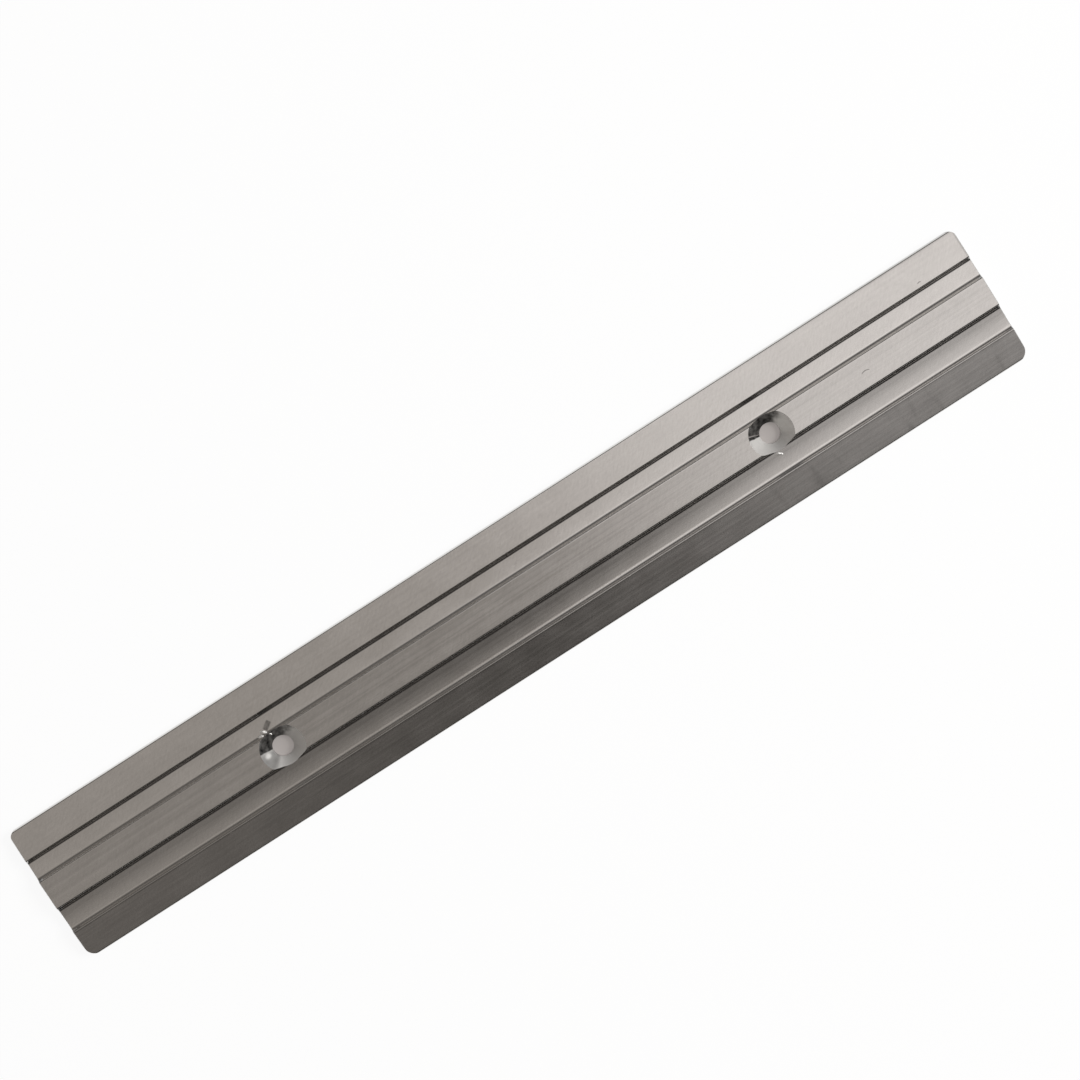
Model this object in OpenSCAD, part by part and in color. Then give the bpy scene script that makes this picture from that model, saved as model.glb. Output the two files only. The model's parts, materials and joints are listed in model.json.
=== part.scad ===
// Cover strip: a cut length of extruded metal bar with three raised lands and
// two shallow grooves along its top, and two countersunk screw holes on its
// centre line. The outer lands fall away from the centre, so the top is crowned.
// X runs along the strip, +Y is its back edge and +Z is up. The origin is the
// middle of the flat underside.

/* [Bar] */
// Cut length of the strip along X
strip_length = 231.5; // [160:0.5:400]
// Height of the centre land above the flat underside
centre_thickness = 4; // [3:0.1:8]
// Radius of the two back (+Y) corners seen from above
back_corner_r = 1.5; // [0.2:0.1:4]
// Radius of the two front (-Y) corners seen from above
front_corner_r = 2.5; // [0.2:0.1:4]

/* [Lands] */
// Width of the centre land, which carries the screw holes
centre_land_w = 7.2; // [6:0.1:12]
// Width of the outer land on the back (+Y) side
back_land_w = 7; // [4:0.1:12]
// Width of the outer land on the front (-Y) side
front_land_w = 7; // [4:0.1:12]
// Height of the step from a groove floor up to the outer land beside it
outer_step = 0.75; // [0.4:0.05:1]
// Angle at which the outer lands fall towards the long edges, in degrees
land_fall = 6.5; // [0:0.5:9]

/* [Grooves] */
// Width of the groove on the back (+Y) side
back_groove_w = 4.5; // [3:0.1:8]
// Width of the groove on the front (-Y) side
front_groove_w = 5.3; // [3:0.1:8]
// Depth of both grooves below the centre land, at the centre land's walls
groove_depth = 0.9; // [0.7:0.05:1.2]
// Angle at which the back groove's floor falls away from the centre land, in degrees
back_floor_fall = 5.5; // [0:0.5:7]
// Angle at which the front groove's floor falls away from the centre land, in degrees
front_floor_fall = 4; // [0:0.5:7]
// Angle through which each groove floor curves, hollow side up, in degrees
floor_dish = 2.5; // [0.5:0.5:4]
// Distance across the strip over which each of the grooves' sloping walls rises
wall_run = 0.65; // [0.1:0.05:1]

/* [Edges] */
// Rounding of the long top edges
rim_r = 0.4; // [0.1:0.05:0.8]
// Rounding of the long bottom edges
foot_r = 0.3; // [0.1:0.05:0.8]
// Rounding of the lands' edges beside the grooves
land_r = 0.4; // [0.05:0.05:0.5]
// Fillet between the groove floors and the walls on the grooves' back side
back_root_r = 0.7; // [0.05:0.05:1.2]
// Fillet between the groove floors and the walls on the grooves' front side
front_root_r = 1.1; // [0.05:0.05:1.2]

/* [Screw holes] */
// Distance between the two holes' centres
hole_pitch = 120; // [30:0.5:140]
// Distance of the hole pair's middle from the strip's middle, towards +X
hole_shift = 1.65; // [-5:0.05:5]
// Diameter of the straight clearance hole
through_d = 4.5; // [3:0.1:6]
// Diameter of the countersink at the top of the centre land
sink_d = 9.8; // [8:0.1:11]
// Full angle of the countersink's cone, in degrees
sink_angle = 90; // [90:1:120]

/* [Hidden] */
$fn = 96;

// Facets of each rounded edge of the section
arc_steps = 6;
// How far the cutters reach past the faces that they cut
overcut = 1;

strip_w = front_land_w + front_groove_w + centre_land_w + back_groove_w + back_land_w;

// Places of the section's walls across the strip, from front to back
front_edge_y = -strip_w / 2;
front_wall_y = front_edge_y + front_land_w;
centre_front_y = front_wall_y + front_groove_w;
centre_back_y = centre_front_y + centre_land_w;
back_wall_y = centre_back_y + back_groove_w;
back_edge_y = back_wall_y + back_land_w;

// Heights of the floors beside the centre land, beside the outer lands, and of the lands
floor_z = centre_thickness - groove_depth;
front_root_z = floor_z - front_groove_w * tan(front_floor_fall);
back_root_z = floor_z - back_groove_w * tan(back_floor_fall);
front_land_z = front_root_z + outer_step;
back_land_z = back_root_z + outer_step;
front_rim_z = front_land_z - front_land_w * tan(land_fall);
back_rim_z = back_land_z - back_land_w * tan(land_fall);

// Half of a wall's run, by which its top and its foot lie to either side of its place
run = wall_run / 2;

// Corners of the section as [y, z, radius], turning left from the front bottom edge
section_corners = [
    [front_edge_y, 0, foot_r],
    [back_edge_y, 0, foot_r],
    [back_edge_y, back_rim_z, rim_r],
    [back_wall_y + run, back_land_z, land_r],
    [back_wall_y - run, back_root_z, back_root_r],
    dish_corner(centre_back_y + run, floor_z, back_wall_y - run, back_root_z),
    [centre_back_y + run, floor_z, front_root_r],
    [centre_back_y - run, centre_thickness, land_r],
    [centre_front_y + run, centre_thickness, land_r],
    [centre_front_y - run, floor_z, back_root_r],
    dish_corner(centre_front_y - run, floor_z, front_wall_y + run, front_root_z),
    [front_wall_y + run, front_root_z, front_root_r],
    [front_wall_y - run, front_land_z, land_r],
    [front_edge_y, front_rim_z, rim_r],
];

function unit(v) = v / norm(v);
function flat(c) = [c[0], c[1]];

// Corner in the middle of a groove floor, as low as the floor's dish, with the largest
// radius that leaves the outer quarters of the floor flat
function dish_corner(y1, z1, y2, z2) =
    let (
        half_w = abs(y2 - y1) / 2,
        sag = half_w * tan(floor_dish / 2)
    )
    [(y1 + y2) / 2, (z1 + z2) / 2 - sag, half_w / 2 / tan(floor_dish / 2)];

// Points of the arc of radius r that rounds corner b between its neighbours a and c
function round_corner(a, b, c, r) =
    let (
        to_a = unit(a - b),
        to_c = unit(c - b),
        half = acos(to_a * to_c) / 2,
        centre = b + unit(to_a + to_c) * r / sin(half),
        start = b + to_a * r / tan(half) - centre,
        finish = b + to_c * r / tan(half) - centre,
        turn = 180 - 2 * half,
        side = cross(start, finish) > 0 ? 1 : -1
    )
    [for (i = [0:arc_steps])
        let (angle = side * turn * i / arc_steps)
        centre + [
            start[0] * cos(angle) - start[1] * sin(angle),
            start[0] * sin(angle) + start[1] * cos(angle),
        ]
    ];

// The section of the bar in the Y-Z plane, with all its long edges rounded
module section() {
    n = len(section_corners);
    polygon([
        for (i = [0:n - 1])
            each round_corner(
                flat(section_corners[(i + n - 1) % n]),
                flat(section_corners[i]),
                flat(section_corners[(i + 1) % n]),
                section_corners[i][2]
            )
    ]);
}

// The section drawn out along X, centred on the origin
module bar() {
    rotate([90, 0, 90])
        linear_extrude(height = strip_length, center = true)
            section();
}

// A rectangle with round corners, the strip's outline seen from above
module plan_outline() {
    x = strip_length / 2;
    y = strip_w / 2;
    polygon([
        [front_corner_r - x, -y],
        [x - front_corner_r, -y],
        [x, front_corner_r - y],
        [x, y - back_corner_r],
        [x - back_corner_r, y],
        [back_corner_r - x, y],
        [-x, y - back_corner_r],
        [-x, front_corner_r - y],
    ]);
    for (side = [-1, 1]) {
        translate([side * (x - front_corner_r), front_corner_r - y])
            circle(r = front_corner_r);
        translate([side * (x - back_corner_r), y - back_corner_r])
            circle(r = back_corner_r);
    }
}

// Cutter for one screw hole: a clearance hole that opens into a cone
module screw_hole() {
    cone_slope = tan(sink_angle / 2);
    cone_depth = (sink_d - through_d) / 2 / cone_slope;
    translate([0, 0, -overcut])
        cylinder(h = centre_thickness + overcut, d = through_d);
    translate([0, 0, centre_thickness - cone_depth])
        cylinder(
            h = cone_depth + overcut,
            d1 = through_d,
            d2 = sink_d + 2 * overcut * cone_slope
        );
}

module cover_strip() {
    color([0.74, 0.73, 0.71])
    difference() {
        intersection() {
            bar();
            translate([0, 0, -overcut])
                linear_extrude(height = centre_thickness + 2 * overcut)
                    plan_outline();
        }
        for (side = [-1, 1])
            translate([hole_shift + side * hole_pitch / 2, 0, 0])
                screw_hole();
    }
}

cover_strip();
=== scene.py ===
import json
import math

import bmesh
import bpy
from bpy.props import FloatProperty, FloatVectorProperty, PointerProperty
from mathutils import Matrix, Vector


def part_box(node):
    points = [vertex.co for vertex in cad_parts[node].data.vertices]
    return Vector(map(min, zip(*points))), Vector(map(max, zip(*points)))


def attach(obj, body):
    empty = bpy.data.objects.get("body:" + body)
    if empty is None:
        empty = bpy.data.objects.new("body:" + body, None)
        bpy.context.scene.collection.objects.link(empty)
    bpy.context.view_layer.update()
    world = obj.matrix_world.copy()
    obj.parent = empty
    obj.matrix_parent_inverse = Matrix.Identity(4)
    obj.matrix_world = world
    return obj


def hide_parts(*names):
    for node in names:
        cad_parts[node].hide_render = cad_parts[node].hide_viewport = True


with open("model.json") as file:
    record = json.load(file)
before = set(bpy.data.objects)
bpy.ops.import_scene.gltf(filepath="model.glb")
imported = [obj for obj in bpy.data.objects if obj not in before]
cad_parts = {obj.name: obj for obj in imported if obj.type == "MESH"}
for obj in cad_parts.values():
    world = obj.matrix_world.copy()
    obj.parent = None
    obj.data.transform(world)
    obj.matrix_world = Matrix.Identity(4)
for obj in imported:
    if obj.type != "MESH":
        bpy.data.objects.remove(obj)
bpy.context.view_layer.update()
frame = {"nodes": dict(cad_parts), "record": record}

bl_info = {
    "name": "Cover strip looks",
    "version": (1, 0, 0),
    "blender": (4, 5, 0),
    "location": "3D View > Sidebar > Cover strip",
    "description": "Finishes a grooved metal cover strip and sets the stage round it",
    "category": "Object",
}

STRIP_NODE = "cover_strip"
MM = 0.001

# The strip's extent, and the screw holes as the record's mount gives them
LOW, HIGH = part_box(STRIP_NODE)
HOLE_MOUNT = next(m for m in frame["record"]["mounts"] if m["name"] == "screw_holes")
HOLE_MIDDLE = Vector(HOLE_MOUNT["pos_m"])
HOLE_PITCH = HOLE_MOUNT["dims"]["spacing_x_mm"] * MM
THROUGH_R = HOLE_MOUNT["dims"]["hole_r_mm"] * MM
LEFT_HOLE = HOLE_MIDDLE - Vector((HOLE_PITCH / 2, 0, 0))
RIGHT_HOLE = HOLE_MIDDLE + Vector((HOLE_PITCH / 2, 0, 0))


def rim_radius():
    """Radius of the countersink at the centre land's face, read from the frame's mesh."""
    mesh = frame["nodes"][STRIP_NODE].data
    reach = HOLE_PITCH / 4
    flat = 1e-6
    distances = [
        (vertex.co.xy - LEFT_HOLE.xy).length
        for vertex in mesh.vertices
        if vertex.co.z > HIGH.z - flat and abs(vertex.co.x - LEFT_HOLE.x) < reach
    ]
    return min(distances)


SINK_R = rim_radius()

# Distances from the middle line: the centre land's finish fades out between the first two,
# and the outer lands lie past the third
FADE_START = 3.4 * MM
FADE_END = 4.2 * MM
OUTER_LAND = 8.5 * MM

# Marks on the lands, read off the photo: the place of the middle of each, half its length and
# half its width in mm, and how dark it is, which is below 0 for a light one. Some have ends
# that bend by so many mm, or a turn from X in degrees.
PAST_ENDS = HIGH.x * 2 / MM
SCRATCH = dict(place=(84.9, 0.6), half_length=1.1, half_width=0.13, bend=0.35, dark=1.8)
TICK = dict(place=(104.1, 9.95), half_length=0.5, half_width=0.14, bend=0.2, dark=1.6)
NICK = dict(place=(-77.1, -9.2), half_length=0.4, half_width=0.15, dark=-1)
# A dark patch on the back groove's floor beside the left hole, drawn only as a darker colour with
# no dent in the mesh
BACK_GROOVE_PATCH = dict(place=(-58.7, 5.6), half_length=1.2, half_width=0.75, turn=35, dark=3.6)
# Painted shade along the front land's inner edge, which dims the highlight that the edge's
# rounding catches
FRONT_EDGE_SHADE = dict(place=(0, -9.0), half_length=PAST_ENDS, half_width=0.35, dark=1.2)
# Painted shade: the shade of a shallow die line on the centre land, drawn as a faint dark line
# along the strip
DIE_LINE_SHADE = dict(place=(0, 2.0), half_length=PAST_ENDS, half_width=0.45, dark=0.07)

# Middle of the painted glint in the left countersink: the spot that the painted shade round it
# leaves bare
GLINT_SPOT = Vector((-61.95, 0.0)) * MM

# Torn metal at the back of the left hole and a chip by the right one: each flake is a place
# as seen from above, a length and a width in mm, and a turn in degrees
BURR = (
    ((-59.96, 4.66), 1.8, 0.8, -40),
    ((-60.95, 4.25), 1.5, 0.8, -30),
    ((-59.15, 3.85), 1.1, 0.35, -45),
)
CHIP = (((60.93, -4.5), 1.7, 0.6, -32),)

# Width and height of the photo, and the place in it of the middle of the strip's top, in pixels
PHOTO_SIZE = 1080.0
MIDDLE_IN_PHOTO = Vector((520.6, 595.2))


# Sizes and colours that a user would change

class StripShape(bpy.types.PropertyGroup):
    edge_break: FloatProperty(
        name="Edge break",
        description="Width of the filed chamfer round the two sawn ends",
        default=0.1 * MM,
        unit="LENGTH",
    )
    jag: FloatProperty(
        name="Jag",
        description="How far the corners of a torn flake stray, as a share of its width",
        default=0.1,
        subtype="FACTOR",
    )


class StripFinish(bpy.types.PropertyGroup):
    metal_colour: FloatVectorProperty(
        name="Metal",
        description="Colour of the bare extruded metal",
        subtype="COLOR",
        size=3,
        default=(0.62, 0.605, 0.585),
    )
    cut_colour: FloatVectorProperty(
        name="Cut metal",
        description="Colour of the cut metal in the screw holes, on the ends and on the flakes",
        subtype="COLOR",
        size=3,
        default=(0.68, 0.67, 0.65),
    )
    roughness: FloatProperty(
        name="Roughness",
        description="Roughness of the extruded faces",
        default=0.16,
        subtype="FACTOR",
    )
    turned_roughness: FloatProperty(
        name="Turned roughness",
        description="Roughness of the screw holes",
        default=0.34,
        subtype="FACTOR",
    )
    sawn_roughness: FloatProperty(
        name="Sawn roughness",
        description="Roughness of the sawn ends",
        default=0.34,
        subtype="FACTOR",
    )
    torn_roughness: FloatProperty(
        name="Torn roughness",
        description="Roughness of the torn flakes",
        default=0.45,
        subtype="FACTOR",
    )
    line_depth: FloatProperty(
        name="Line depth",
        description="Depth of the fine lines that the extrusion die left along the strip",
        default=0.004 * MM,
        unit="LENGTH",
    )


class StripStage(bpy.types.PropertyGroup):
    camera_distance: FloatProperty(
        name="Camera distance",
        description="Distance from the camera to the point that it looks at",
        default=0.65,
        unit="LENGTH",
    )
    camera_tilt: FloatProperty(
        name="Camera tilt",
        description="Angle by which the camera leans from straight above towards the back edge",
        default=math.radians(7),
        subtype="ANGLE",
    )
    camera_turn: FloatProperty(
        name="Strip's slant",
        description="Angle at which the strip rises to the right in the picture",
        default=math.radians(32.7),
        subtype="ANGLE",
    )
    frame_width: FloatProperty(
        name="Frame width",
        description="Width of the picture at the top of the strip",
        default=223.1 * MM,
        unit="LENGTH",
    )
    lamp_place: FloatVectorProperty(
        name="Lamp place",
        description="Middle of the square lamp, which faces the middle of the strip",
        subtype="TRANSLATION",
        size=3,
        default=(0.9, -0.12, 0.95),
    )
    lamp_size: FloatProperty(
        name="Lamp size",
        description="Width and height of the lamp",
        default=0.6,
        unit="LENGTH",
    )
    lamp_power: FloatProperty(
        name="Lamp power",
        description="Power of the lamp",
        default=16,
        unit="POWER",
    )
    floor_colour: FloatVectorProperty(
        name="Floor",
        description="Colour of the floor",
        subtype="COLOR",
        size=3,
        default=(0.8, 0.8, 0.8),
    )
    # Painted shade: the floor under the strip is darker, standing in for the shade seen through
    # the screw holes
    shade_colour: FloatVectorProperty(
        name="Floor below",
        description="Colour of the floor under the strip, which shows through the screw holes",
        subtype="COLOR",
        size=3,
        default=(0.4, 0.37, 0.355),
    )


# Shader building

class Value:
    """One output in a shader. Python's arithmetic on it adds the Math nodes."""

    def __init__(self, shader, socket):
        self.shader = shader
        self.socket = socket

    def maths(self, operation, *others):
        sockets = dict(enumerate((self, *others)))
        return self.shader.node("ShaderNodeMath", {"operation": operation}, sockets)

    def __add__(self, other):
        return self.maths("ADD", other)

    __radd__ = __add__

    def __mul__(self, other):
        return self.maths("MULTIPLY", other)

    __rmul__ = __mul__

    def __sub__(self, other):
        return self.maths("SUBTRACT", other)

    def __neg__(self):
        return self.maths("MULTIPLY", -1)

    def __rsub__(self, other):
        return -self + other

    def __truediv__(self, other):
        return self.maths("DIVIDE", other)

    def __gt__(self, other):
        return self.maths("GREATER_THAN", other)

    def __lt__(self, other):
        return self.maths("LESS_THAN", other)

    def __abs__(self):
        return self.maths("ABSOLUTE")

    def larger(self, other):
        return self.maths("MAXIMUM", other)

    def ramp(self, low, high, smooth=True):
        """0 up to low, 1 from high, and a rise between them, which is even if not smooth."""
        settings = {"interpolation_type": "SMOOTHSTEP" if smooth else "LINEAR"}
        return self.shader.node("ShaderNodeMapRange", settings, {0: self, 1: low, 2: high})


class Shader:
    """The nodes of one material or world."""

    def __init__(self, owner):
        owner.use_nodes = True
        self.tree = owner.node_tree
        self.tree.nodes.clear()

    def node(self, kind, settings=None, sockets=None, output=0):
        made = self.tree.nodes.new(kind)
        for name, setting in (settings or {}).items():
            setattr(made, name, setting)
        for key, entry in (sockets or {}).items():
            if isinstance(entry, Value):
                self.tree.links.new(entry.socket, made.inputs[key])
            else:
                made.inputs[key].default_value = entry
        return Value(self, made.outputs[output])

    def parts(self, vector):
        return [self.node("ShaderNodeSeparateXYZ", None, {0: vector}, axis) for axis in "XYZ"]

    def coordinates(self):
        """Place on the object as three values, in metres."""
        return self.parts(self.node("ShaderNodeTexCoord", output="Object"))

    def facing_up(self):
        """1 on a level top, 0 on an upright wall and -1 on a level underside."""
        return self.parts(self.node("ShaderNodeNewGeometry", output="Normal"))[2]

    def light_path(self, ray):
        """1 for one kind of ray, and 0 for any other."""
        return self.node("ShaderNodeLightPath", output=ray)

    def noise(self, x, y, z, detail=2):
        """Random waves from 0 to 1. Each of x, y and z is a place times its waves to the metre."""
        place = self.node("ShaderNodeCombineXYZ", None, {0: x, 1: y, 2: z})
        sockets = {"Vector": place, "Scale": 1.0, "Detail": detail, "Roughness": 0.5}
        return self.node("ShaderNodeTexNoise", None, sockets)

    def tint(self, colour, strength):
        """The colour with each of its parts times strength, which varies over the surface."""
        sockets = {0: (*colour,), "Scale": strength}
        return self.node("ShaderNodeVectorMath", {"operation": "SCALE"}, sockets)

    def mix(self, factor, first, second):
        """The first colour where factor is 0, the second where it is 1."""
        ends = [end if isinstance(end, Value) else (*end, 1) for end in (first, second)]
        sockets = {0: factor, 6: ends[0], 7: ends[1]}
        return self.node("ShaderNodeMix", {"data_type": "RGBA"}, sockets, 2)

    def bump(self, height, distance, strength=1.0):
        sockets = {"Height": height, "Distance": distance, "Strength": strength}
        return self.node("ShaderNodeBump", None, sockets)

    def metal(self, colour, roughness, normal, metallic=1.0):
        sockets = {
            "Base Color": colour,
            "Metallic": metallic,
            "Roughness": roughness,
            "Normal": normal,
        }
        self.finish(self.node("ShaderNodeBsdfPrincipled", None, sockets))

    def finish(self, surface, kind="ShaderNodeOutputMaterial"):
        """Links the surface to the output, which ends the shader."""
        made = self.tree.nodes.new(kind)
        self.tree.links.new(surface.socket, made.inputs["Surface"])


def towards(x, y, right, back, tiny=0.01 * MM):
    """How nearly a place lies in the direction that runs so far right and so far back: 1 in
    that direction, 0 square to it and -1 opposite. Tiny keeps the origin from dividing by 0."""
    distance = (x * x + y * y).maths("SQRT") + tiny
    return (x * right + y * back) / distance


# Extruded metal

def flaw(x, y, place, half_length, half_width, dark, bend=0, turn=0):
    """How dark one mark makes a place. It fades out towards its ends and its sides."""
    full_length, full_width = half_length * 0.7, half_width * 0.4
    cosine, sine = math.cos(math.radians(turn)), math.sin(math.radians(turn))
    from_x, from_y = x - place[0] * MM, y - place[1] * MM
    from_middle = from_x * cosine + from_y * sine
    bow = from_middle * from_middle * (bend / (half_length**2 * MM))
    beside = abs(from_y * cosine - from_x * sine + bow)
    past_end = abs(from_middle).ramp(full_length * MM, half_length * MM)
    past_side = beside.ramp(full_width * MM, half_width * MM)
    return (1 - past_side) * (1 - past_end) * dark


def land_marks(x, y, scuffs):
    """How dark the marks on the lands are, with the painted shade along the front land's inner
    edge. The scuffs break up the dark patch in the back groove.
    """
    marks = flaw(x, y, **BACK_GROOVE_PATCH) * scuffs
    for mark in (SCRATCH, TICK, NICK, FRONT_EDGE_SHADE):
        marks = marks + flaw(x, y, **mark)
    return marks


def smudges(shader, x, y):
    """Finger marks on the right of the front land."""
    patches = shader.noise(x * 420, y * 110, 7).ramp(0.52, 0.75)
    on_right = (x - HIGH.x * 0.4).ramp(0, 20 * MM)
    blur = 0.5 * MM
    on_front_land = (-y).ramp(OUTER_LAND - blur, OUTER_LAND + blur)
    return patches * on_right * on_front_land


def dark_rims(x, y):
    """How much darker the back edge and the back of the right end are, which grows to the right.
    """
    back_width, end_width, fade = 0.7 * MM, 0.6 * MM, 0.5 * MM
    back_rim = (y - HIGH.y + back_width).ramp(0, fade)
    end_rim = (x - HIGH.x + end_width).ramp(0, fade) * (y > OUTER_LAND)
    return back_rim.larger(end_rim) * x.ramp(HIGH.x * 0.3, HIGH.x * 0.9)


def painted_wall_shade(x, y, facing):
    """Painted shade on the centre land's walls at their ends, more of it at the left end."""
    near_end = abs(x).ramp(HIGH.x - 1.1 * MM, HIGH.x - 0.5 * MM)
    on_wall = (facing > 0.3) * (1 - facing.ramp(0.75, 0.9)) * (abs(y) < FADE_END)
    return near_end * on_wall * (0.5 + (x < 0) * 0.25)


def extruded_metal(finish):
    """Bare extruded metal with the die's lines along it, faint clouds and scuffs, the marks of use
    on its top, and painted shade along a die line, along the front land's inner edge and on the
    centre land's walls near the ends."""
    material = bpy.data.materials.new("extruded_metal")
    shader = Shader(material)
    x, y, z = shader.coordinates()
    facing = shader.facing_up()
    level = facing.ramp(0.9, 0.99)
    across = y * 0.94 + z * 0.35
    die_lines = shader.noise(x * 2.5, across * 1900, z * 900, detail=3)
    streaks = shader.noise(x * 200, across * 2600, z * 900)
    scuffs = shader.noise((x + y) * 520, (x - y) * 1700, z * 300)
    clouds = shader.noise(x * 130, across * 230, z, detail=3)
    centre_land = 1 - abs(y).ramp(FADE_START, FADE_END)
    detail = (
        (die_lines - 0.5) * (0.1 + centre_land * 0.16)
        + (streaks - 0.5) * 0.06
        + (scuffs - 0.5) * 0.18
        + (clouds - 0.5) * 0.12
        # painted shade of the die line
        - flaw(x, y, **DIE_LINE_SHADE)
        - smudges(shader, x, y) * 0.16
    )
    marks = land_marks(x, y, scuffs) * (facing > 0.1)
    # Painted shade: the marks carry shade along the front land's inner edge, and the last factor
    # darkens the centre land's walls near the ends
    tone = 0.97 + detail * (0.2 + level * 0.8) - marks * 0.3 - dark_rims(x, y) * 0.25
    shader.metal(
        shader.tint(finish.metal_colour, tone * (1 - painted_wall_shade(x, y, facing))),
        finish.roughness + (die_lines - 0.5) * 0.08 + (clouds - 0.5) * 0.08,
        shader.bump(die_lines * 0.5 + streaks * 0.5, finish.line_depth, level),
    )
    return material


# Cut metal

def sink_back_shade(from_axis, y, ragged):
    """How dark the painted shade at the back of a countersink is, standing in for the dark that
    the walls there mirror. It ends sharply on the left and thins out to the right."""
    at_back = (towards(from_axis, y, 0.21, 0.98) + ragged * 0.1).ramp(-0.02, 0.06)
    not_right = (towards(from_axis, y, -0.93, 0.37) + ragged * 0.4).ramp(-0.75, -0.15)
    return at_back * not_right * (0.86 + ragged * 0.6)


def sink_side_shade(x, y, from_axis, clouds):
    """How dark the painted shade on the sides of the countersinks is. It lies on the left of the
    left one, round the painted glint, and faintly on the right of both."""
    glint_x, glint_y = x - GLINT_SPOT.x, y - GLINT_SPOT.y
    from_glint = (glint_x * glint_x + glint_y * glint_y).maths("SQRT")
    on_left = (x < HOLE_MIDDLE.x) * towards(from_axis, y, -0.97, -0.26).ramp(0.8, 0.97)
    on_right = towards(from_axis, y, 1, 0).ramp(0.5, 0.9)
    left_shade = on_left * (0.35 + clouds * 0.4) * from_glint.ramp(0.2 * MM, 0.9 * MM)
    return left_shade + on_right * 0.16


def turned_metal(finish):
    """Cut metal in the screw holes, with the cutter's rings and painted shade at the back and on
    the sides of each countersink. Outside the painted shade at the back it is partly matt, so that
    it isn't a plain mirror."""
    material = bpy.data.materials.new("turned_metal")
    shader = Shader(material)
    x, y, z = shader.coordinates()
    ring_depth = 0.003 * MM
    unshaded_metallic = 0.6
    rings = shader.noise(x * 200, y * 200, z * 9000)
    ragged = shader.noise(x * 900, y * 900, z * 900) - 0.5
    clouds = shader.noise(x * 380, y * 380, z * 380, detail=1)
    from_axis = x - LEFT_HOLE.x - (x > HOLE_MIDDLE.x) * HOLE_PITCH
    # Painted shade at the back of each countersink and on its sides
    back_shade = sink_back_shade(from_axis, y, ragged)
    side_shade = sink_side_shade(x, y, from_axis, clouds)
    shader.metal(
        shader.tint(finish.cut_colour, (0.9 + rings * 0.15) * (1 - back_shade) * (1 - side_shade)),
        finish.turned_roughness + rings * 0.12,
        shader.bump(rings, ring_depth),
        unshaded_metallic + back_shade * (1 - unshaded_metallic),
    )
    return material


def scored_metal(finish, name, roughness):
    """Cut metal with a saw's marks across it."""
    material = bpy.data.materials.new(name)
    shader = Shader(material)
    x, y, z = shader.coordinates()
    score_depth = 0.02 * MM
    scores = shader.noise(x * 500, y * 6000 + z * 900, z * 60)
    shader.metal(
        shader.tint(finish.cut_colour, 0.75 + scores * 0.16),
        roughness + scores * 0.12,
        shader.bump(scores, score_depth),
    )
    return material


def sawn_metal(finish):
    """The metal of the strip's two sawn ends."""
    return scored_metal(finish, "sawn_metal", finish.sawn_roughness)


def torn_metal(finish):
    """The metal of the loose flakes, duller than the sawn ends."""
    return scored_metal(finish, "torn_metal", finish.torn_roughness)


# Mesh building

def select_nothing():
    bpy.ops.object.select_all(action="DESELECT")


def select_only(piece):
    select_nothing()
    bpy.context.view_layer.objects.active = piece
    piece.select_set(True)


def edit(piece):
    """Opens the piece in edit mode with all of it selected."""
    select_only(piece)
    bpy.ops.object.mode_set(mode="EDIT")
    bpy.ops.mesh.select_all(action="SELECT")


def leave_edit():
    bpy.ops.object.mode_set(mode="OBJECT")


def pick_faces(piece, wanted):
    """Selects the faces for which wanted(face) holds, in edit mode."""
    bpy.ops.mesh.select_all(action="DESELECT")
    bpy.ops.mesh.select_mode(type="FACE")
    shape = bmesh.from_edit_mesh(piece.data)
    for face in shape.faces:
        face.select_set(wanted(face))
    bmesh.update_edit_mesh(piece.data)


def extrude(offset):
    """Extrudes the selected faces in edit mode, and turns all faces outwards."""
    bpy.ops.mesh.extrude_region_move(TRANSFORM_OT_translate={"value": offset})
    bpy.ops.mesh.select_all(action="SELECT")
    bpy.ops.mesh.normals_make_consistent(inside=False)


def apply_modifier(piece, kind, **settings):
    select_only(piece)
    modifier = piece.modifiers.new(kind.title(), kind)
    for name, setting in settings.items():
        setattr(modifier, name, setting)
    bpy.ops.object.modifier_apply(modifier=modifier.name)


def combine(piece, other, operation):
    """Cuts the piece by the other object, which is then deleted."""
    apply_modifier(piece, "BOOLEAN", operation=operation, solver="EXACT", object=other)
    bpy.data.objects.remove(other)


def clean_up(piece):
    """Merges the double points and drops the empty faces that the cuts left."""
    smallest = 0.004 * MM
    edit(piece)
    bpy.ops.mesh.remove_doubles(threshold=smallest)
    bpy.ops.mesh.dissolve_degenerate(threshold=smallest)
    leave_edit()


def sharpen_borders(piece):
    """Marks the edges between two materials as sharp, so that each keeps its own normals."""
    edit(piece)
    shape = bmesh.from_edit_mesh(piece.data)
    for edge in shape.edges:
        if len({face.material_index for face in edge.link_faces}) > 1:
            edge.smooth = False
    bmesh.update_edit_mesh(piece.data)
    leave_edit()


def finish_piece(piece, name):
    """Puts the piece's place in its mesh, names it and lets it ride on the frame."""
    select_only(piece)
    bpy.ops.object.transform_apply(location=True, rotation=True, scale=True)
    piece.name = name
    piece.data.name = name
    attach(piece, "root")


# The bar

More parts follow.
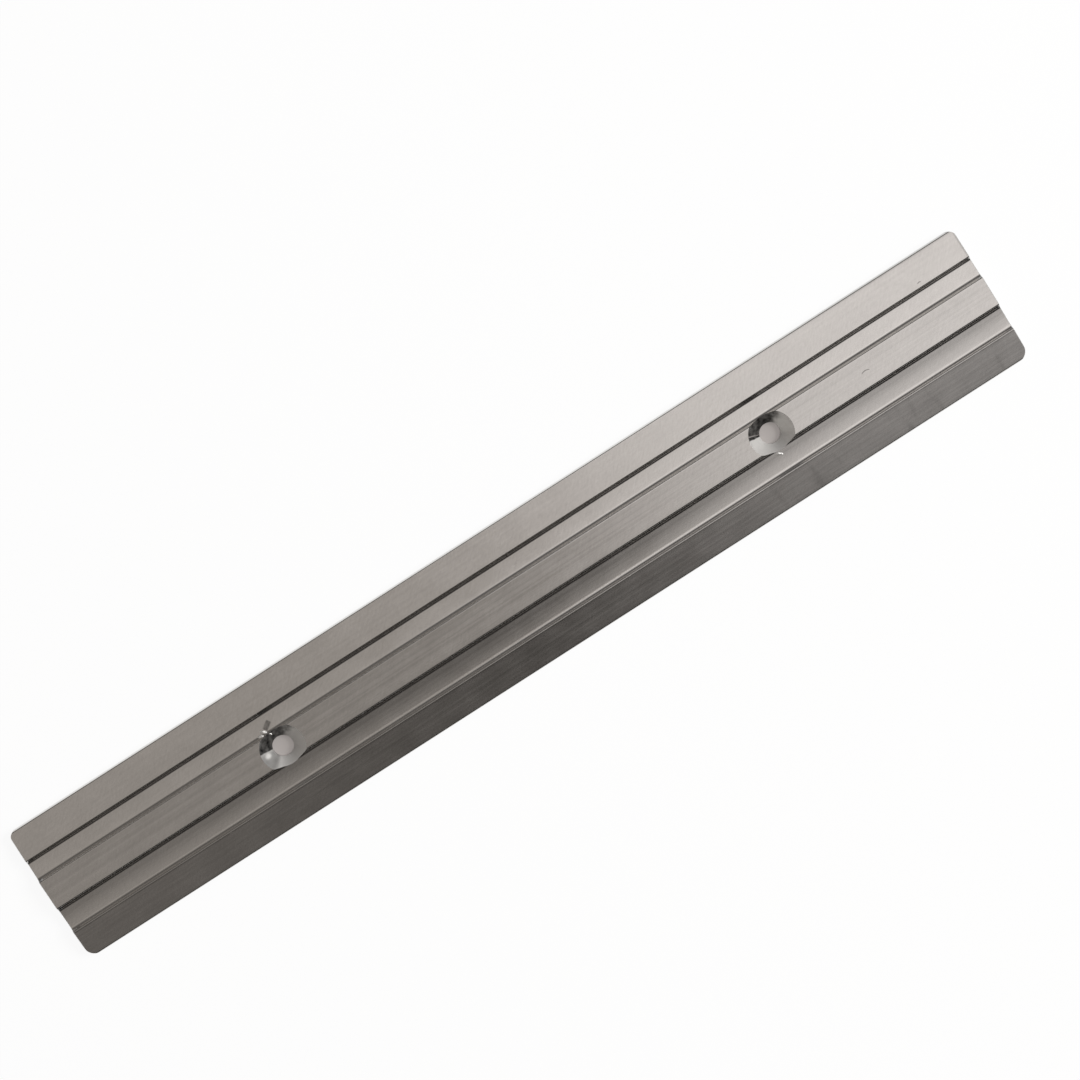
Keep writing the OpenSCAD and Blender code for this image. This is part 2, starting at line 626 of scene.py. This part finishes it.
def slice_of_strip(point, normal):
    """A new object in edit mode: the flat cut of the CAD node's mesh by one plane."""
    touching = 0.001 * MM
    straight = math.radians(0.1)
    piece = bpy.data.objects.new("slice", frame["nodes"][STRIP_NODE].data.copy())
    piece.data.materials.clear()
    bpy.context.collection.objects.link(piece)
    edit(piece)
    bpy.ops.mesh.remove_doubles(threshold=touching)
    bpy.ops.mesh.bisect(plane_co=point, plane_no=normal, use_fill=True, clear_outer=True)
    pick_faces(
        piece,
        lambda face: any(abs((v.co - point).dot(normal)) > touching for v in face.verts),
    )
    bpy.ops.mesh.delete(type="FACE")
    bpy.ops.mesh.select_all(action="SELECT")
    bpy.ops.mesh.dissolve_limited(angle_limit=straight)
    bpy.ops.mesh.select_all(action="SELECT")
    return piece


def square_bar(filed):
    """The strip's section drawn out to its full length, with its ends filed by so much."""
    end_along = 0.99
    cut_x = (RIGHT_HOLE.x + HIGH.x) / 2
    bar = slice_of_strip(Vector((cut_x, 0, 0)), Vector((1, 0, 0)))
    bpy.ops.transform.translate(value=(LOW.x + filed - cut_x, 0, 0))
    extrude((HIGH.x - LOW.x - 2 * filed, 0, 0))
    for side in (-1, 1):
        pick_faces(bar, lambda face: face.normal.x * side > end_along)
        bpy.ops.mesh.inset(thickness=filed, depth=0)
        bpy.ops.transform.translate(value=(side * filed, 0, 0))
    leave_edit()
    return bar


def outline_block():
    """A block with the strip's outline seen from above and its straight bores."""
    over = 1 * MM
    level = 1 * MM
    block = slice_of_strip(Vector((0, 0, level)), Vector((0, 0, 1)))
    bpy.ops.transform.translate(value=(0, 0, LOW.z - over - level))
    extrude((0, 0, HIGH.z - LOW.z + 2 * over))
    leave_edit()
    return block


def sink_cutter(centre):
    """Cutter for one countersink: a 90 degree cone that reaches past both of its ends."""
    facets = 96
    over = 1 * MM
    under = 0.25 * MM
    sink_depth = SINK_R - THROUGH_R
    select_nothing()
    bpy.ops.mesh.primitive_cone_add(
        vertices=facets,
        radius1=THROUGH_R - under,
        radius2=SINK_R + over,
        depth=sink_depth + over + under,
        location=(centre.x, centre.y, HIGH.z + (over - sink_depth - under) / 2),
    )
    cone = bpy.context.object
    bpy.ops.object.transform_apply(location=True, rotation=False, scale=False)
    return cone


def share_out_metals(bar, finish):
    """Gives the sawn ends and the screw holes their own metals, and the rest the extruded one.
    How far a face's normal points along or up tells an end or a countersink from the rest."""
    for make in (extruded_metal, turned_metal, sawn_metal):
        bar.data.materials.append(make(finish))
    turned, sawn = 1, 2
    end_along = 0.6
    sink_up_low, sink_up_high = 0.5, 0.85
    sink_reach = SINK_R + 0.3 * MM
    bore_reach = THROUGH_R * 1.1
    for face in bar.data.polygons:
        centre = Vector(face.center)
        near_hole = min((centre.xy - hole.xy).length for hole in (LEFT_HOLE, RIGHT_HOLE))
        in_sink = near_hole < sink_reach and sink_up_low < face.normal.z < sink_up_high
        if abs(face.normal.x) > end_along and near_hole > sink_reach:
            face.material_index = sawn
        elif in_sink or near_hole < bore_reach:
            face.material_index = turned


class STRIP_OT_bar(bpy.types.Operator):
    """Makes the bar with its lands, grooves and screw holes, and gives it its metal"""

    bl_idname = "strip.bar"
    bl_label = "Bar"

    def execute(self, context):
        scene = context.scene
        sharpest_smooth = math.radians(32)
        piece = square_bar(scene.strip_shape.edge_break)
        combine(piece, outline_block(), "INTERSECT")
        for centre in (LEFT_HOLE, RIGHT_HOLE):
            combine(piece, sink_cutter(centre), "DIFFERENCE")
        clean_up(piece)
        share_out_metals(piece, scene.strip_finish)
        select_only(piece)
        bpy.ops.object.shade_smooth_by_angle(angle=sharpest_smooth)
        sharpen_borders(piece)
        apply_modifier(piece, "WEIGHTED_NORMAL", keep_sharp=True)
        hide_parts(STRIP_NODE)
        finish_piece(piece, "bar")
        return {"FINISHED"}


# The flakes

def torn_flake(bar, place, length, width, turn, jag, seed):
    """One flat flake with ragged corners, which lies on the bar below its place."""
    above = Vector((place[0] * MM, place[1] * MM, HIGH.z * 2))
    found, spot, normal, face = bar.ray_cast(above, Vector((0, 0, -1)))
    if not found:
        raise RuntimeError(f"no surface below the flake at {place}")
    select_nothing()
    bpy.ops.mesh.primitive_ico_sphere_add(subdivisions=2, radius=1, location=spot)
    flake = bpy.context.object
    flake.scale = Vector((length / 2, width / 2, width / 4)) * MM
    flake.rotation_euler.z = math.radians(turn)
    bpy.ops.object.transform_apply(location=True, rotation=True, scale=True)
    edit(flake)
    bpy.ops.transform.vertex_random(offset=width * jag * MM, seed=seed)
    leave_edit()
    return flake


def torn_piece(bar, flakes, name, jag):
    """The flakes of one place, joined to one piece."""
    parts = [torn_flake(bar, *flake, jag, seed) for seed, flake in enumerate(flakes, 1)]
    piece = parts[0]
    select_only(piece)
    for part in parts:
        part.select_set(True)
    if len(parts) > 1:
        bpy.ops.object.join()
    finish_piece(piece, name)
    return piece


class STRIP_OT_flakes(bpy.types.Operator):
    """Adds the torn metal at the left hole and the chip by the right one"""

    bl_idname = "strip.flakes"
    bl_label = "Flakes"

    def execute(self, context):
        bar = bpy.data.objects["bar"]
        torn = torn_metal(context.scene.strip_finish)
        for flakes, name in ((BURR, "burr"), (CHIP, "chip")):
            piece = torn_piece(bar, flakes, name, context.scene.strip_shape.jag)
            piece.data.materials.append(torn)
        return {"FINISHED"}


# The stage

def floor_material(stage):
    """Pale floor with a darker patch under the strip, painted shade for what shows through the
    screw holes. It is matt for the light that falls on it, and glows for the camera and in the
    metal, mostly beside the strip and less below, where the glow is painted light that evens out
    the strip's shadow in the holes."""
    material = bpy.data.materials.new("pale_floor")
    shader = Shader(material)
    x, y, z = shader.coordinates()
    inset = 2 * MM
    # The glow below the strip is painted light that fills in the shadow seen through the screw
    # holes
    glow_beside, painted_light_below = 0.92, 0.6
    beside = (abs(x) > HIGH.x - inset).larger(abs(y) > HIGH.y - inset)
    matt_colour = shader.mix(beside, stage.shade_colour, stage.floor_colour)
    glow_colour = shader.mix(beside, stage.shade_colour, (1, 1, 1))
    matt = shader.node("ShaderNodeBsdfDiffuse", None, {"Color": matt_colour})
    glow = shader.node("ShaderNodeEmission", None, {"Color": glow_colour, "Strength": 1.0})
    seen = shader.light_path("Is Camera Ray").larger(shader.light_path("Is Glossy Ray"))
    share = seen * (painted_light_below + beside * (glow_beside - painted_light_below))
    shader.finish(shader.node("ShaderNodeMixShader", None, {0: share, 1: matt, 2: glow}))
    return material


def panel_light(across, along, right):
    """Brightness of the panel overhead. Across and along are how steeply a direction leans to
    the right and to the back, and right is 1 on the panel's right part."""
    base = 0.015
    back = along.ramp(-0.42, -0.1, smooth=False) * 0.28
    left_back = along.ramp(-0.13, 0.1) * (1 - right) * 0.07
    middle = along.ramp(-0.46, -0.3)
    left = (-across).ramp(0.0, 0.2) * (1 - along.ramp(-0.22, -0.12))
    left_front = left * (0.06 + middle * 0.12)
    right_front = right * (0.1 + middle * 0.54)
    back_glow = 1 + along.ramp(0.15, 0.3) * 0.25
    return (base + back + left_back + left_front + right_front) * back_glow


def past_panel(across, along, right):
    """1 beyond the panel's edges, of which the back one is blurred and lies further back on
    the right."""
    past_back = (along - right * 0.2).ramp(0.15, 1.1, smooth=False)
    past_front = (-along).ramp(0.6, 0.9)
    past_sides = abs(across).ramp(0.45, 0.9)
    return past_sides.larger(past_back.larger(past_front))


def wall_light(x, y, z):
    """Brightness of the walls round the stage, with a dark gap in the middle of the front."""
    tiny = 0.001
    right = towards(x, y, 0.94, 0.34, tiny).ramp(0.5, 0.9) * 0.32
    left = towards(x, y, -1, 0, tiny).ramp(0.5, 0.9) * 0.4
    low = 1 - z.ramp(0.2, 0.3)
    back = towards(x, y, 0, 1, tiny).ramp(0.3, 0.9) * (0.1 + low * 0.08)
    front = towards(x, y, 0, -1, tiny).ramp(0.3, 0.7) * abs(x).ramp(0.22, 0.36) * 0.32
    return (right + left + back).larger(front)


class STRIP_OT_stage(bpy.types.Operator):
    """Sets the floor, the lamp, the world and the camera"""

    bl_idname = "strip.stage"
    bl_label = "Stage"

    def execute(self, context):
        stage = context.scene.strip_stage
        context.scene.view_settings.view_transform = "Standard"
        self.floor(stage)
        self.lamp(context.scene, stage)
        self.world(context.scene)
        self.camera(context.scene, stage)
        return {"FINISHED"}

    def floor(self, stage):
        width = 6
        select_nothing()
        bpy.ops.mesh.primitive_plane_add(size=width, location=(0, 0, LOW.z))
        floor = bpy.context.object
        floor.name = "floor"
        floor.data.materials.append(floor_material(stage))

    def lamp(self, scene, stage):
        data = bpy.data.lights.new("key", "AREA")
        data.shape = "SQUARE"
        data.size = stage.lamp_size
        data.energy = stage.lamp_power
        lamp = bpy.data.objects.new("key", data)
        lamp.location = stage.lamp_place
        lamp.rotation_mode = "QUATERNION"
        lamp.rotation_quaternion = (-lamp.location).to_track_quat("-Z", "Y")
        scene.collection.objects.link(lamp)

    def world(self, scene):
        """White for the camera. What the metal mirrors is a wide panel overhead, brighter to
        the right of a slanting edge and warmer to its left, and dim walls round it."""
        world = bpy.data.worlds.new("studio")
        scene.world = world
        shader = Shader(world)
        x, y, z = shader.parts(shader.node("ShaderNodeTexCoord", output="Generated"))
        least_height = 0.05
        least_light = 0.03
        height = z.larger(least_height)
        across, along = x / height, y / height
        right = (across + along * 0.08).ramp(-0.02, 0.075)
        past = past_panel(across, along, right)
        light = panel_light(across, along, right) * (1 - past) + past * wall_light(x, y, z)
        light = light * z.ramp(0.0, 0.1) + least_light
        seen = shader.light_path("Is Camera Ray")
        warm = (1 - right) * (1 - seen)
        mirrored = shader.mix(warm, (1.01, 0.97, 0.955), (1.06, 0.985, 0.92))
        colour = shader.mix(seen, mirrored, (1, 1, 1))
        level = light + seen * (1 - light)
        sky = shader.node("ShaderNodeBackground", None, {"Color": colour, "Strength": level})
        shader.finish(sky, "ShaderNodeOutputWorld")

    def camera(self, scene, stage):
        data = bpy.data.cameras.new("camera")
        data.lens = data.sensor_width * stage.camera_distance / stage.frame_width
        data.clip_start = 0.01
        camera = bpy.data.objects.new("camera", data)
        scene.collection.objects.link(camera)
        scene.camera = camera
        tilt, turn = stage.camera_tilt, stage.camera_turn
        ahead = Vector((0, -math.sin(tilt), -math.cos(tilt)))
        along = Vector((1, 0, 0))
        upward = along.cross(ahead)
        right = along * math.cos(turn) - upward * math.sin(turn)
        up = along * math.sin(turn) + upward * math.cos(turn)
        scale = stage.frame_width / PHOTO_SIZE
        off = (Vector((PHOTO_SIZE, PHOTO_SIZE)) / 2 - MIDDLE_IN_PHOTO) * scale
        target = Vector((0, 0, HIGH.z)) + right * off.x - up * off.y
        place = Matrix.Translation(target - ahead * stage.camera_distance)
        camera.matrix_world = place @ Matrix((right, up, -ahead)).transposed().to_4x4()


GROUPS = {"strip_shape": StripShape, "strip_finish": StripFinish, "strip_stage": StripStage}
STEPS = (STRIP_OT_bar, STRIP_OT_flakes, STRIP_OT_stage)


class STRIP_PT_panel(bpy.types.Panel):
    """Lists the steps and the sizes and colours behind them"""

    bl_label = "Cover strip"
    bl_idname = "STRIP_PT_panel"
    bl_space_type = "VIEW_3D"
    bl_region_type = "UI"
    bl_category = "Cover strip"

    def draw(self, context):
        for step in STEPS:
            self.layout.operator(step.bl_idname)
        for group in GROUPS:
            settings = getattr(context.scene, group)
            for name in settings.bl_rna.properties.keys():
                if name not in ("rna_type", "name"):
                    self.layout.prop(settings, name)


CLASSES = (*GROUPS.values(), *STEPS, STRIP_PT_panel)


def register():
    for kind in CLASSES:
        bpy.utils.register_class(kind)
    for name, group in GROUPS.items():
        setattr(bpy.types.Scene, name, PointerProperty(type=group))


def unregister():
    for name in GROUPS:
        delattr(bpy.types.Scene, name)
    for kind in reversed(CLASSES):
        bpy.utils.unregister_class(kind)


def main():
    register()
    bpy.ops.strip.bar()
    bpy.ops.strip.flakes()
    bpy.ops.strip.stage()


if __name__ == "__main__":
    main()
